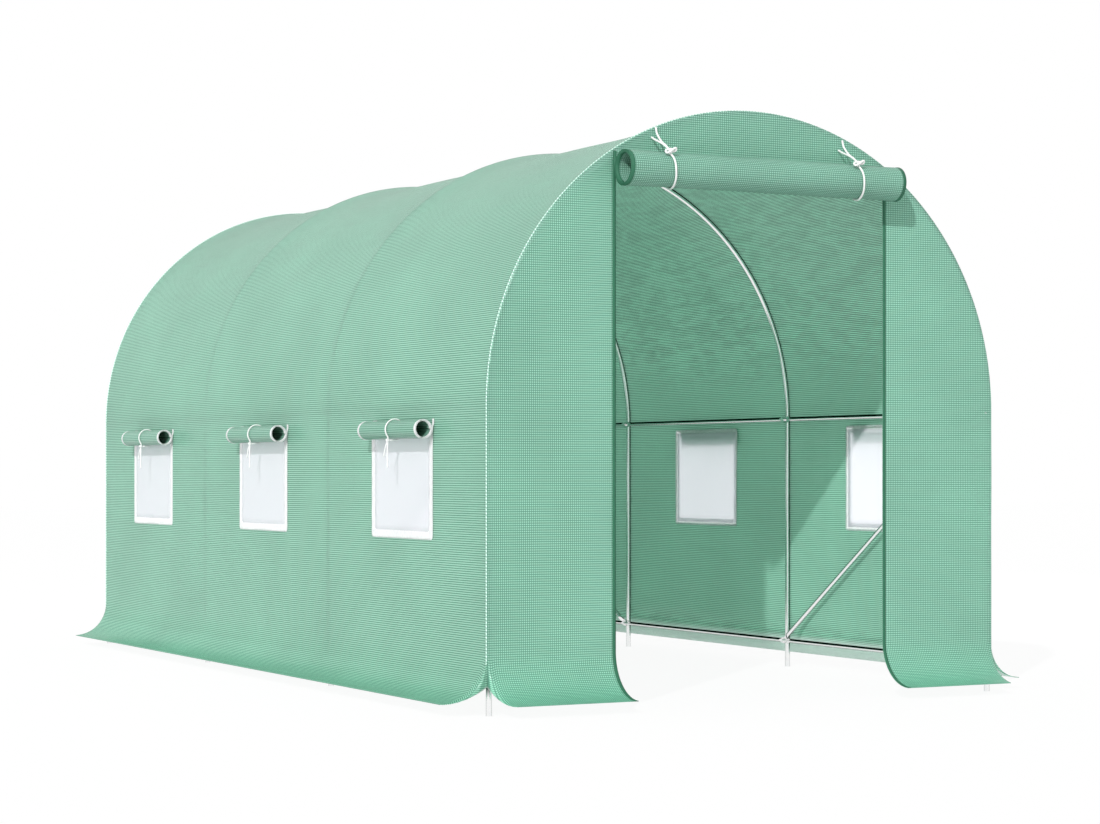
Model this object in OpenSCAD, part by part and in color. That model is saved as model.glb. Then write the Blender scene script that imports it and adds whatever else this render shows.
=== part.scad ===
// Walk-in polytunnel greenhouse: four steel hoops under a woven cover, real size in millimetres.
// The door end looks along -Y, the ground is at z = 0 and the origin is the middle of the plan.

/* [Tunnel] */
// Width over the cover
tunnel_w = 2000; // [1900:10:2600]
// Height of the straight walls, up to where the arch starts
wall_h = 994; // [960:1:1200]
// Distance from one hoop to the next
bay_l = 1290; // [1100:10:1500]

/* [Frame] */
// Outer diameter of the hoop tubes
hoop_d = 19; // [16:0.5:25]
// Wall thickness of the hoop tubes
hoop_wall = 0.8; // [0.6:0.1:1.5]
// Length of the arch ends that plug into the legs
spigot_l = 60; // [30:5:100]
// Outer diameter of the rails and braces
rail_d = 16; // [12:0.5:19]
// Thickness of the flattened rail ends
tab_t = 2; // [1.5:0.1:3]
// Width of the flattened rail ends
tab_w = 23; // [18:0.5:28]
// Length of a flattened end, from its bolt to where it starts to round out
tab_l = 20; // [14:1:30]
// Length over which a flattened end grows to the round tube
taper_l = 28; // [15:1:40]
// Height of the ground rails
ground_rail_z = 104; // [70:2:150]
// Drop of the mid rails below the top of the legs
mid_rail_drop = 6; // [5:0.5:12]
// Height of the rear rail over the ground rails, so that their bolts pass
rear_rail_step = 28; // [26:1:50]

/* [Cover] */
// Thickness of the sheet as modelled
cover_t = 2.5; // [2:0.1:3]
// Deepest sag of the roof between two hoops, beside the ridge
roof_sag = 25; // [5:1:30]

/* [Skirt] */
// Radius of the outward curve, which is also its reach
skirt_r = 150; // [80:5:200]
// Height of the hem over the ground
hem_z = 40; // [20:1:60]
// Rounding of the skirt's free corners
skirt_corner_r = 60; // [20:5:70]

/* [Door] */
// Width of the opening
door_w = 1060; // [800:10:1080]
// Height of the opening
door_h = 1800; // [1700:10:1800]
// Diameter of the rolled-up flap
door_roll_d = 120; // [90:2:140]
// Reach of the roll past each side of the opening
door_roll_over = 10; // [0:1:12]
// Width of the zip tape beside the opening
zip_w = 13; // [10:1:30]
// Thickness of the zip tape
zip_t = 1; // [0.8:0.1:2]
// Distance of each tie from the middle of the door
door_tie_x = 370; // [150:10:380]

/* [Windows] */
// Width over the white border
window_w = 500; // [350:5:560]
// Height over the white border
window_h = 405; // [300:5:420]
// Height of the border's lower edge
window_sill = 552; // [520:1:552]
// Width of the border strips
border_w = 28; // [20:1:40]
// Thickness of the border strips
border_t = 1.5; // [1:0.1:2]
// Rounding of the border's corners
border_r = 12; // [6:1:16]
// Thickness of the insect net as modelled
net_t = 1; // [0.8:0.1:1.5]
// Diameter of the rolled-up flap
window_roll_d = 68; // [50:1:80]
// Length of the rolled-up flap
window_roll_l = 475; // [300:5:540]
// Shift of the roll from the middle of its window towards the door end
window_roll_shift = 25; // [0:1:30]

/* [Ties] */
// Diameter of the window tie cords
tie_d = 5; // [3:0.5:6]
// Diameter of the door tie cords
door_tie_d = 7; // [4:0.5:9]
// Shift of a window tie from the middle of its window towards the door end
window_tie_shift = 32; // [0:1:80]
// Length of the longer tail under a window tie
tail_l = 110; // [80:5:160]

/* [Hidden] */
$fn = 64;
// Clearance between pieces that rest on each other
seat = 0.3;
// Cutting shapes reach this far past what they cut
cut_past = 10;
bays = 3;
half_w = tunnel_w / 2;
arch_top = wall_h + half_w;
leg_x = half_w - cover_t - seat - hoop_d / 2;
leg_in = leg_x - hoop_d / 2;
// Inner faces of the end sheets, just clear of the end hoops
end_y = bays / 2 * bay_l + hoop_d / 2 + seat;
face_y = end_y + cover_t;
skirt_top = hem_z + cover_t + skirt_r;
mid_rail_z = wall_h - mid_rail_drop;
// Flattened ends lie on each other in layers, counted inward from the tube they are bolted to
layer = tab_t + seat;
// A tube's side stands this far over the face of its flattened ends
proud = 0.6;
// Sag of the sheet where the ridge rails stop it, and the angle over which their hold fades
ridge_gap = 1;
ridge_sag = min(roof_sag, half_w - cover_t - (leg_in - seat + proud) - ridge_gap);
ridge_band = 9;
// Hem of a rolled flap where it is sewn on, and the gap between the turns of its roll
flap_hem = 14;
wind_gap = 1.2;
// The door flap is sewn on this far over the opening
door_hem_rise = 30;
door_r = door_roll_d / 2;
door_stand = zip_t + door_tie_d + 2 * seat;
door_roll_z = door_h + door_hem_rise - door_r;
door_roll_l = door_w + 2 * door_roll_over;
window_r = window_roll_d / 2;
window_stand = tie_d + 2 * seat;
window_roll_z = window_sill + window_h - window_r;
// Knots sit on the front of a roll, at these angles up from the side towards the wall
window_knot_a = 234;
door_knot_a = 130;
hole_w = window_w - border_w;
hole_h = window_h - border_w;
// Rounding of the holes, the nets and the inner edges of the borders
hole_r = border_r - 4;
net_w = hole_w - 2 * seat;
net_h = hole_h - 2 * seat;
roof_steps = 36;
bay_steps = 10;
steel = "silver";
sheet = "mediumaquamarine";
tape = "darkgreen";
white = "white";

function hoop_y(i) = (i - bays / 2) * bay_l;
function bay_y(i) = (hoop_y(i) + hoop_y(i + 1)) / 2;

// Corner points of a rounded rectangle about the origin
function rounded(w, h, r) = [
    for (q = [0:3], a = [0:15:90])
        [
            (q == 0 || q == 3 ? 1 : -1) * (w / 2 - r) + r * cos(q * 90 + a),
            (q < 2 ? 1 : -1) * (h / 2 - r) + r * sin(q * 90 + a)
        ]
];

// Depth of the sag: nothing along the walls and the hoops, steep beside the hoops, flat along the
// middle of a bay, and less where the ridge rail holds the sheet up
function sag(a, y, i) =
    let (t = min(1, max(0, (y - hoop_y(i)) / bay_l)))
    let (held = exp(-pow((90 - a) / ridge_band, 2)))
    let (deepest = roof_sag - (roof_sag - ridge_sag) * held)
    deepest * pow(sin(a), 2) * (1 - pow(abs(2 * t - 1), 3));

// Mirrors its children for the right side, which is side 1
module side(s) {
    if (s == 1) children();
    else mirror([1, 0, 0]) children();
}

// Puts a profile drawn as (x, z) along Y, from y0 to y1
module along_y(y0, y1) {
    translate([0, y1, 0])
        rotate([90, 0, 0])
            linear_extrude(y1 - y0) children();
}

// One bent arch with the reduced ends that plug into its legs
module arch(i) {
    bore_d = hoop_d - 2 * hoop_wall;
    // Each reduced end starts this far up inside the bend
    root_l = 3;
    color(steel)
        translate([0, hoop_y(i), wall_h]) {
            rotate([90, 0, 0])
                rotate_extrude(angle = 180, $fn = 360)
                    translate([leg_x, 0])
                        circle(d = hoop_d);
            for (x = [-leg_x, leg_x])
                translate([x, 0, -spigot_l])
                    cylinder(d = bore_d - 2 * seat, h = spigot_l + root_l);
        }
}

// The four open tube legs of one side
module legs(s) {
    color(steel)
        side(s)
            for (i = [0:bays])
                translate([leg_x, hoop_y(i), 0])
                    difference() {
                        cylinder(d = hoop_d, h = wall_h);
                        translate([0, 0, -cut_past])
                            cylinder(d = hoop_d - 2 * hoop_wall, h = wall_h + 2 * cut_past);
                    }
}

// The flat part of a pressed end about its bolt: a plate whose sides narrow into the tube
module flat_end(tab_x) {
    side = tab_w / 2;
    translate([tab_x - tab_t / 2, 0, 0])
        rotate([90, 0, 90])
            linear_extrude(tab_t)
                polygon(concat(
                    [for (a = [90:15:270]) [side * cos(a), side * sin(a)]],
                    [[tab_l, -side], [tab_l + taper_l, -2], [tab_l + taper_l, 2], [tab_l, side]]
                ));
}

// A tube along +Y between two bolts, pressed flat at both ends;
// x gives the layers of its ends and the line of its tube
module strut(length, start_x, end_x, tube_x) {
    thin = 0.3 * tab_t;
    full = rail_d / 2 + 1;
    far = length - tab_l;
    flat_end(start_x);
    translate([0, length, 0])
        mirror([0, 1, 0])
            flat_end(end_x);
    intersection() {
        translate([tube_x, tab_l - 1, 0])
            rotate([-90, 0, 0])
                cylinder(d = rail_d, h = length - 2 * tab_l + 2);
        translate([0, 0, -rail_d])
            linear_extrude(2 * rail_d)
                polygon([
                    [start_x - thin, tab_l],
                    [start_x + thin, tab_l],
                    [tube_x + full, tab_l + taper_l],
                    [tube_x + full, far - taper_l],
                    [end_x + thin, far],
                    [end_x - thin, far],
                    [tube_x - full, far - taper_l],
                    [tube_x - full, tab_l + taper_l]
                ]);
    }
}

// Middle of a flattened end in the given layer on the inner side of the legs
function layer_x(n) = leg_in - seat - tab_t / 2 - n * layer;

// One rail a bay; a rail's rear end lies on the next rail's front end
module side_rails(s, z) {
    tube_x = layer_x(1) - tab_t / 2 + rail_d / 2 - proud;
    color(steel)
        side(s)
            for (i = [0:bays - 1])
                translate([0, hoop_y(i), z])
                    strut(bay_l, layer_x(0), layer_x(1), tube_x);
}

module ridge_rails() {
    tube_x = layer_x(0) + tab_t / 2 - rail_d / 2 + proud;
    color(steel)
        for (i = [0:bays - 1])
            translate([0, hoop_y(i), wall_h])
                mirror([1, 0, -1])
                    strut(bay_l, layer_x(0), layer_x(1), tube_x);
}

// Across the rear, on the inner side of the rear legs
module rear_rail() {
    tab_y = hoop_y(bays) - hoop_d / 2 - seat - tab_t / 2;
    tube_y = tab_y + tab_t / 2 - rail_d / 2 + proud;
    color(steel)
        translate([leg_x, 0, ground_rail_z + rear_rail_step])
            rotate([0, 0, 90])
                strut(2 * leg_x, tab_y, tab_y, tube_y);
}

// From the foot of one hoop up to the mid rail of the end hoop, over the rails' ends
module brace(s, foot, head) {
    rise = mid_rail_z - ground_rail_z;
    run = hoop_y(head) - hoop_y(foot);
    tube_x = layer_x(2) + tab_t / 2 - rail_d / 2 + proud;
    color(steel)
        side(s)
            translate([0, hoop_y(foot), ground_rail_z])
                rotate([atan2(rise, run), 0, 0])
                    strut(norm([rise, run]), layer_x(2), layer_x(2), tube_x);
}

// One bay of the roof as a thin shell, from wall to wall
module roof(i) {
    y0 = i == 0 ? -end_y : hoop_y(i);
    y1 = i == bays - 1 ? end_y : hoop_y(i + 1);
    cols = bay_steps + 1;
    // Flat facets stand outside the hoops' true circle
    round_up = 1 / cos(90 / roof_steps);
    function place(k, j, inset) =
        let (a = 180 * k / roof_steps, y = y0 + (y1 - y0) * (1 - cos(180 * j / bay_steps)) / 2)
        let (r = (half_w - inset) * round_up - sag(a, y, i))
        [r * cos(a), y, wall_h + r * sin(a)];
    function skin(inset) = [
        for (k = [0:roof_steps], j = [0:bay_steps]) place(k, j, inset)
    ];
    inner = (roof_steps + 1) * cols;
    last = roof_steps * cols;
    top = [
        for (k = [0:roof_steps - 1], j = [0:bay_steps - 1])
            let (p = k * cols + j)
            [p, p + 1, p + cols + 1, p + cols]
    ];
    under = [for (f = top) [f[3] + inner, f[2] + inner, f[1] + inner, f[0] + inner]];
    feet = [
        for (j = [0:bay_steps - 1])
            each [
                [j + 1, j, inner + j, inner + j + 1],
                [last + j, last + j + 1, inner + last + j + 1, inner + last + j]
            ]
    ];
    ends = [
        for (k = [0:roof_steps - 1])
            let (p = k * cols, q = k * cols + bay_steps)
            each [
                [p, p + cols, inner + p + cols, inner + p],
                [q + cols, q, inner + q, inner + q + cols]
            ]
    ];
    quads = concat(top, under, feet, ends);
    color(sheet)
        polyhedron(
            points = concat(skin(0), skin(cover_t)),
            faces = [for (f = quads) each [[f[0], f[1], f[2]], [f[0], f[2], f[3]]]]
        );
}

// Flat side wall with one hole a bay
module wall(s) {
    hole_z = window_sill + window_h / 2;
    color(sheet)
        side(s)
            difference() {
                translate([half_w - cover_t, -end_y, skirt_top])
                    cube([cover_t, 2 * end_y, wall_h - skirt_top]);
                for (i = [0:bays - 1])
                    translate([half_w - cover_t - cut_past, bay_y(i), hole_z])
                        rotate([90, 0, 90])
                            linear_extrude(cover_t + 2 * cut_past)
                                polygon(rounded(hole_w, hole_h, hole_r));
            }
}

// Outline of an end sheet between two heights and two places across
module end_outline(x0, x1, z0, z1) {
    intersection() {
        translate([x0, z0])
            square([x1 - x0, z1 - z0]);
        union() {
            translate([-half_w, z0])
                square([tunnel_w, max(wall_h, z0 + 1) - z0]);
            translate([0, wall_h])
                intersection() {
                    circle(r = half_w, $fn = 360);
                    translate([-tunnel_w, 0])
                        square([2 * tunnel_w, tunnel_w]);
                }
        }
    }
}

module front_panel(s) {
    color(sheet)
        side(s)
            along_y(-face_y, -end_y)
                end_outline(door_w / 2, half_w + cut_past, skirt_top, door_h);
}

module front_gable() {
    color(sheet)
        along_y(-face_y, -end_y)
            intersection() {
                translate([0, wall_h])
                    circle(r = half_w, $fn = 360);
                translate([-half_w, door_h])
                    square([tunnel_w, half_w]);
            }
}

module rear_end() {
    color(sheet)
        along_y(end_y, face_y)
            end_outline(
                -half_w - cut_past,
                half_w + cut_past,
                skirt_top,
                arch_top + cut_past
            );
}

// Quarter-round band: x runs out from the sheet's outer face, from r_in to r_out about its centre
module quarter(r_in, r_out) {
    intersection() {
        translate([skirt_r, skirt_top])
            difference() {
                circle(r = r_out);
                circle(r = r_in);
            }
        translate([skirt_r - r_out - cut_past, skirt_top - r_out - cut_past])
            square([r_out + cut_past, r_out + cut_past]);
    }
}

// A flared skirt along +Y from 0, whose wall faces +X; its free corners are rounded where asked
module skirt(length, round_start, round_end) {
    r = skirt_corner_r;
    start = round_start
        ? [for (a = [270:15:360]) [skirt_r - r + r * cos(a), r + r * sin(a)]]
        : [[skirt_r, 0]];
    end = round_end
        ? [for (a = [0:15:90]) [skirt_r - r + r * cos(a), length - r + r * sin(a)]]
        : [[skirt_r, length]];
    color(sheet)
        intersection() {
            along_y(0, length)
                quarter(skirt_r, skirt_r + cover_t);
            linear_extrude(skirt_top)
                polygon(concat([[-cover_t, 0]], start, end, [[-cover_t, length]]));
        }
}

module side_skirt(s) {
    side(s)
        translate([half_w, -end_y, 0])
            skirt(2 * end_y, true, true);
}

// From the corner to the door; its edge beside the door stays square under the zip tape
module front_skirt(s) {
    side(s)
        translate([half_w, -face_y, 0])
            rotate([0, 0, 90])
                mirror([1, 0, 0])
                    skirt(half_w - door_w / 2, true, false);
}

module rear_skirt() {
    translate([half_w, face_y, 0])
        rotate([0, 0, 90])
            skirt(tunnel_w, true, true);
}

// Zip tape on the outer face, down the panel's edge and round the skirt
module door_zip(s) {
    color(tape)
        side(s)
            translate([door_w / 2, -face_y, 0])
                rotate([90, 0, 90])
                    linear_extrude(zip_w)
                        mirror([1, 0]) {
                            translate([0, skirt_top])
                                square([zip_t, door_h - skirt_top]);
                            quarter(skirt_r - zip_t, skirt_r);
                        }
}

// Section of a rolled flap about the roll's axis, drawn as (x, z) with its wall towards +x:
// sewn hem, the sheet hanging behind the roll, then the turns winding inward
module flap_section(r, stand, turns) {
    pitch = cover_t + wind_gap;
    stop = 360 * turns;
    outer = [
        for (a = [0:10:stop])
            let (q = r - pitch * a / 360)
            [q * cos(-a), q * sin(-a)]
    ];
    inner = [
        for (a = [stop:-10:0])
            let (q = r - cover_t - pitch * a / 360)
            [q * cos(-a), q * sin(-a)]
    ];
    hem = [[r - cover_t, r], [r + stand, r], [r + stand, r - flap_hem], [r, r - flap_hem]];
    polygon(concat(hem, outer, inner));
}

module door_flap() {
    color(sheet)
        translate([-door_roll_l / 2, -face_y - door_stand - door_r, door_roll_z])
            rotate([90, 0, 90])
                linear_extrude(door_roll_l)
                    flap_section(door_r, door_stand, 3);
}

module window_rolls(s) {
    color(sheet)
        side(-s)
            for (i = [0:bays - 1])
                translate([
                    -half_w - border_t - window_stand - window_r,
                    bay_y(i) - window_roll_shift,
                    window_roll_z
                ])
                    along_y(-window_roll_l / 2, window_roll_l / 2)
                        flap_section(window_r, window_stand, 2);
}

// Width of the knot in a cord
function knot_d(d) = 2.4 * d;

// Cord of diameter d round a roll, from the front of its hanging sheet to just behind it,
// in the (x, z) plane
module tie_loop(r, d) {
    ring = r + seat + d / 2;
    start = acos((r - cover_t - seat - d / 2) / ring);
    stop = 355;
    rotate([90, 0, 0])
        rotate([0, 0, start])
            rotate_extrude(angle = stop - start)
                translate([ring, 0])
                    circle(d = d);
}

// Middle of a knot that rests on a roll at an angle
function knot_place(r, d, a) =
    let (out = r + seat + knot_d(d) / 2)
    [out * cos(a), 0, out * sin(a)];

// A straight piece of cord of diameter d from one point to another
module strand(p, q, d) {
    run = q - p;
    translate(p)
        rotate([0, acos(run[2] / norm(run)), atan2(run[1], run[0])])
            cylinder(d = d, h = norm(run));
}

// Window ties are knotted low on the front of the roll, with two tails that hang before the net
module window_ties(s) {
    knot = knot_place(window_r, tie_d, window_knot_a);
    color(white)
        side(-s)
            for (i = [0:bays - 1])
                translate([
                    -half_w - border_t - window_stand - window_r,
                    bay_y(i) - window_tie_shift,
                    window_roll_z
                ]) {
                    tie_loop(window_r, tie_d);
                    translate(knot)
                        sphere(d = knot_d(tie_d));
                    strand(knot, knot + [0, 4, -tail_l], tie_d);
                    strand(knot, knot + [0, 30, -tail_l / 2], tie_d);
                }
}

// Door ties are knotted high on the front of the roll and sewn to the gable
module door_ties() {
    knot = knot_place(door_r, door_tie_d, door_knot_a);
    sewn_x = door_r + door_stand - door_tie_d / 2;
    color(white)
        for (x = [-door_tie_x, door_tie_x])
            translate([x, -face_y - door_stand - door_r, door_roll_z])
                rotate([0, 0, 90]) {
                    tie_loop(door_r, door_tie_d);
                    translate(knot)
                        sphere(d = knot_d(door_tie_d));
                    strand(knot, [sewn_x, 12, door_r + 80], door_tie_d);
                    strand(knot, [sewn_x, 24, door_r + 46], door_tie_d);
                }
}

// Plain sheets in the wall holes; the mesh itself is left to the looks
module window_nets(s) {
    color("lavender")
        side(s)
            for (i = [0:bays - 1])
                translate([half_w - net_t, bay_y(i), window_sill + window_h / 2])
                    rotate([90, 0, 90])
                        linear_extrude(net_t)
                            polygon(rounded(net_w, net_h, hole_r));
}

// Flat strips sewn over the edge of each net, on both faces of the wall
module window_borders(s) {
    color(white)
        side(s)
            for (i = [0:bays - 1], x = [half_w, half_w - cover_t - border_t])
                translate([x, bay_y(i), window_sill + window_h / 2])
                    rotate([90, 0, 90])
                        linear_extrude(border_t)
                            difference() {
                                polygon(rounded(window_w, window_h, border_r));
                                polygon(rounded(
                                    window_w - 2 * border_w,
                                    window_h - 2 * border_w,
                                    hole_r
                                ));
                            }
}

arch(0);  // front_arch
arch(1);  // second_arch
arch(2);  // third_arch
arch(3);  // rear_arch
legs(-1);  // left_legs
legs(1);  // right_legs
ridge_rails();
side_rails(-1, mid_rail_z);  // left_mid_rails
side_rails(1, mid_rail_z);  // right_mid_rails
side_rails(-1, ground_rail_z);  // left_ground_rails
side_rails(1, ground_rail_z);  // right_ground_rails
rear_rail();  // rear_ground_rail
brace(-1, 1, 0);  // left_front_brace
brace(1, 1, 0);  // right_front_brace
brace(-1, 2, 3);  // left_rear_brace
brace(1, 2, 3);  // right_rear_brace
roof(0);  // front_roof_sheet
roof(1);  // middle_roof_sheet
roof(2);  // rear_roof_sheet
wall(-1);  // left_wall_sheet
wall(1);  // right_wall_sheet
front_panel(-1);  // front_left_panel
front_panel(1);  // front_right_panel
front_gable();  // front_gable_panel
rear_end();  // rear_panel
side_skirt(-1);  // left_skirt
side_skirt(1);  // right_skirt
front_skirt(-1);  // front_left_skirt
front_skirt(1);  // front_right_skirt
rear_skirt();
door_flap();  // door_roll
door_zip(-1);  // left_door_zip
door_zip(1);  // right_door_zip
door_ties();
window_nets(-1);  // left_window_nets
window_nets(1);  // right_window_nets
window_borders(-1);  // left_window_borders
window_borders(1);  // right_window_borders
window_rolls(-1);  // left_window_rolls
window_rolls(1);  // right_window_rolls
window_ties(-1);  // left_window_ties
window_ties(1);  // right_window_ties
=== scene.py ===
import math

import bpy
import numpy as np
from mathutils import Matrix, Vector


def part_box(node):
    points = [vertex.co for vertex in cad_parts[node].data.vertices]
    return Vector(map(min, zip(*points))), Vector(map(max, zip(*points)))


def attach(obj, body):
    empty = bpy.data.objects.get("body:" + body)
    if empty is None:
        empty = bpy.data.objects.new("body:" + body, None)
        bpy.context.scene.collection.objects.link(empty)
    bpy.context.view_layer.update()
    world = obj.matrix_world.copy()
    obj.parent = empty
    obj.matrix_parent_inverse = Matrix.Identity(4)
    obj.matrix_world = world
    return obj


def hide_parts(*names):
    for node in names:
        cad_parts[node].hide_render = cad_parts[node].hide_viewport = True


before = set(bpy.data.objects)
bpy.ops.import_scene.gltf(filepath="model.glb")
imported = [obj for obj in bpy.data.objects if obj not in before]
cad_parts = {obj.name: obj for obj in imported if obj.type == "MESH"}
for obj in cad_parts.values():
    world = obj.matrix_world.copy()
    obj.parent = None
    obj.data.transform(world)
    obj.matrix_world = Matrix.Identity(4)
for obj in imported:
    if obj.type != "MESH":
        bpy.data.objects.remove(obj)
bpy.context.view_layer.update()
scene = bpy.context.scene
scene.view_settings.view_transform = "Standard"


# Camera
# A long lens at hip height, held level, looks past the front left corner into the door. It is
# shifted up instead of tilted, so that the legs and walls stay upright.
camera_data = bpy.data.cameras.new("camera")
camera_data.sensor_width = 36.0
camera_data.lens = 83.37
camera_data.shift_y = 0.0524
camera = bpy.data.objects.new("camera", camera_data)
camera.location = (-4.608, -9.220, 0.787)
camera.rotation_euler = (math.radians(90.0), 0.0, math.radians(-27.80))
scene.collection.objects.link(camera)
scene.camera = camera


# Floor and light
# A pale floor runs out to a white surround. One soft sun stands over the photographer's left
# shoulder, and a wide panel on each side fills the long walls.
def fill(tree, node, inputs):
    """Sets each input of a shader node to a value, or links it to an output."""
    for key, value in inputs.items():
        if isinstance(value, bpy.types.NodeSocket):
            tree.links.new(value, node.inputs[key])
        else:
            node.inputs[key].default_value = value


def shade(tree, kind, inputs=None, **settings):
    """One shader node, with its settings and then its inputs."""
    made = tree.nodes.new(kind)
    for key, value in settings.items():
        setattr(made, key, value)
    fill(tree, made, inputs or {})
    return made


def maths(tree, operation, *values):
    """Output of a Math node."""
    return shade(tree, "ShaderNodeMath", dict(enumerate(values)), operation=operation).outputs[0]


def ranged(tree, value, start, end, low, high, **settings):
    """A value carried from the range start to end over to the range low to high, and kept in it."""
    return shade(tree, "ShaderNodeMapRange", {"Value": value, "From Min": start, "From Max": end,
                                              "To Min": low, "To Max": high}, **settings).outputs[0]


def seen_directly(tree):
    """1 for rays that show the surround itself: straight to the camera, mirrored or let through."""
    path = shade(tree, "ShaderNodeLightPath").outputs
    mirrored = maths(tree, "MAXIMUM", path["Is Camera Ray"], path["Is Glossy Ray"])
    return maths(tree, "MAXIMUM", mirrored, path["Is Transmission Ray"])


sky_strength = 0.65
world = bpy.data.worlds.new("surround")
world.use_nodes = True
scene.world = world
sky = world.node_tree
sky.nodes.clear()
sky_level = ranged(sky, seen_directly(sky), 0.0, 1.0, sky_strength, 1.0)
sky_light = shade(sky, "ShaderNodeBackground", {"Color": (1.0, 1.0, 1.0, 1.0),
                                                "Strength": sky_level})
shade(sky, "ShaderNodeOutputWorld", {"Surface": sky_light.outputs[0]})

floor_half = 40.0
floor_white = 0.93
floor_mesh = bpy.data.meshes.new("floor")
floor_mesh.from_pydata(
    [(-floor_half, -floor_half, 0.0), (floor_half, -floor_half, 0.0),
     (floor_half, floor_half, 0.0), (-floor_half, floor_half, 0.0)], [], [(0, 1, 2, 3)])
floor = bpy.data.objects.new("floor", floor_mesh)
scene.collection.objects.link(floor)
floor_paint = bpy.data.materials.new("pale_floor")
floor_paint.use_nodes = True
tree = floor_paint.node_tree
tree.nodes.clear()
plain = shade(tree, "ShaderNodeBsdfDiffuse", {"Color": (0.86, 0.86, 0.86, 1.0)})
glow = shade(tree, "ShaderNodeEmission", {"Color": (1.0, 1.0, 1.0, 1.0), "Strength": 1.0})
glow_share = maths(tree, "MULTIPLY", seen_directly(tree), floor_white)
mixed = shade(tree, "ShaderNodeMixShader", {0: glow_share, 1: plain.outputs[0], 2: glow.outputs[0]})
shade(tree, "ShaderNodeOutputMaterial", {"Surface": mixed.outputs[0]})
floor_mesh.materials.append(floor_paint)

sun_travel = (1.0, 0.97, -0.86)
sun_data = bpy.data.lights.new("sun", "SUN")
sun_data.energy = 2.80
sun_data.angle = math.radians(1.0)
sun = bpy.data.objects.new("sun", sun_data)
sun.rotation_euler = (math.atan2(math.hypot(*sun_travel[:2]), -sun_travel[2]), 0.0,
                      math.atan2(sun_travel[1], sun_travel[0]) - math.radians(90.0))
scene.collection.objects.link(sun)

panel_away = 8.0
for side, name, power, back, rise, lean in ((-1.0, "left_panel", 160.0, 3.5, 3.2, 72.0),
                                            (1.0, "right_panel", 272.0, 1.5, 1.0, 92.0)):
    panel_data = bpy.data.lights.new(name, "AREA")
    panel_data.shape = "RECTANGLE"
    panel_data.size = 5.0
    panel_data.size_y = 7.0
    panel_data.energy = power
    panel = bpy.data.objects.new(name, panel_data)
    panel.location = (panel_away * side, back, rise)
    panel.rotation_euler = (0.0, side * math.radians(lean), 0.0)
    scene.collection.objects.link(panel)


# Hoops, legs, rails and braces
# Galvanised steel tube: the arches are bent and plugged into the legs, the rails and braces are
# pressed flat at their ends. The solids have the finished shapes and get their zinc coat here.
steel_nodes = ["front_arch", "second_arch", "third_arch", "rear_arch", "left_legs", "right_legs",
               "ridge_rails", "left_mid_rails", "right_mid_rails", "left_ground_rails",
               "right_ground_rails", "rear_ground_rail", "left_front_brace", "right_front_brace",
               "left_rear_brace", "right_rear_brace"]


def new_finish(name):
    """An empty material with its Principled shader already joined to the output."""
    material = bpy.data.materials.new(name)
    material.use_nodes = True
    tree = material.node_tree
    tree.nodes.clear()
    skin = shade(tree, "ShaderNodeBsdfPrincipled")
    shade(tree, "ShaderNodeOutputMaterial", {"Surface": skin.outputs[0]})
    return material, tree, skin


def noise(tree, place, scale, detail=2.0, rough=0.5):
    """Cloudy noise at a place."""
    return shade(tree, "ShaderNodeTexNoise", {"Vector": place, "Scale": scale, "Detail": detail,
                                              "Roughness": rough}).outputs["Fac"]


def blended(tree, share, first, second, **settings):
    """A mix of two colours by the share of the second."""
    return shade(tree, "ShaderNodeMix", {"Factor": share, 6: first, 7: second}, data_type="RGBA",
                 **settings).outputs[2]


def bumped(tree, height, strength, distance, below=None, **settings):
    """Normal of a bump, laid over the one below it."""
    bump = shade(tree, "ShaderNodeBump", {"Height": height, "Strength": strength,
                                          "Distance": distance}, **settings)
    if below is not None:
        tree.links.new(below, bump.inputs["Normal"])
    return bump.outputs[0]


def facing_out(tree):
    """Height of a point, how far its normal points up, and the greater of that and how far the
    normal points out to its own side of the tunnel."""
    place = shade(tree, "ShaderNodeTexCoord").outputs["Object"]
    spot = shade(tree, "ShaderNodeSeparateXYZ", {0: place}).outputs
    normal = shade(tree, "ShaderNodeNewGeometry").outputs["Normal"]
    lean = shade(tree, "ShaderNodeSeparateXYZ", {0: normal}).outputs
    outward = maths(tree, "MULTIPLY", maths(tree, "SIGN", spot[0]), lean[0])
    return spot[2], lean[2], maths(tree, "MAXIMUM", outward, lean[2])


def zinc_coat(name, shade_share):
    """Bright zinc, almost a mirror, with a faint spangle, and painted shade on the side towards the
    cover.

    That side is where the normal leans outward or up. It is darkened by the shade share, and the
    bare feet below the rails are left bright. The dark green edge tint of the reflection is painted
    shade along the tube's edges too.
    """
    material, tree, skin = new_finish(name)
    place = shade(tree, "ShaderNodeTexCoord").outputs["Object"]
    spangle = noise(tree, place, 60.0, 4.0, 0.6)
    colour = blended(tree, ranged(tree, spangle, 0.3, 0.7, 0.0, 1.0), (0.88, 0.89, 0.90, 1.0),
                     (0.93, 0.93, 0.92, 1.0))
    height, _, shade_side = facing_out(tree)
    # Painted shade: the cover side of each tube is darkened to near black, in place of its shadow
    # and dark reflection.
    painted_shade = ranged(tree, shade_side, 0.02, 0.26, 0.0, shade_share, interpolation_type="SMOOTHSTEP")
    over_feet = ranged(tree, height, 0.06, 0.09, 0.0, 1.0)
    shaded_colour = blended(tree, maths(tree, "MULTIPLY", painted_shade, over_feet), colour,
                     (0.035, 0.05, 0.045, 1.0))
    # The dark green specular tint paints shade along the edges of the reflection.
    fill(tree, skin, {"Base Color": shaded_colour, "Metallic": 1.0,
                      "Roughness": ranged(tree, spangle, 0.3, 0.7, 0.17, 0.12),
                      "Normal": bumped(tree, spangle, 0.01, 0.0003),
                      "Specular Tint": (0.04, 0.09, 0.07, 1.0)})
    return material


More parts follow.
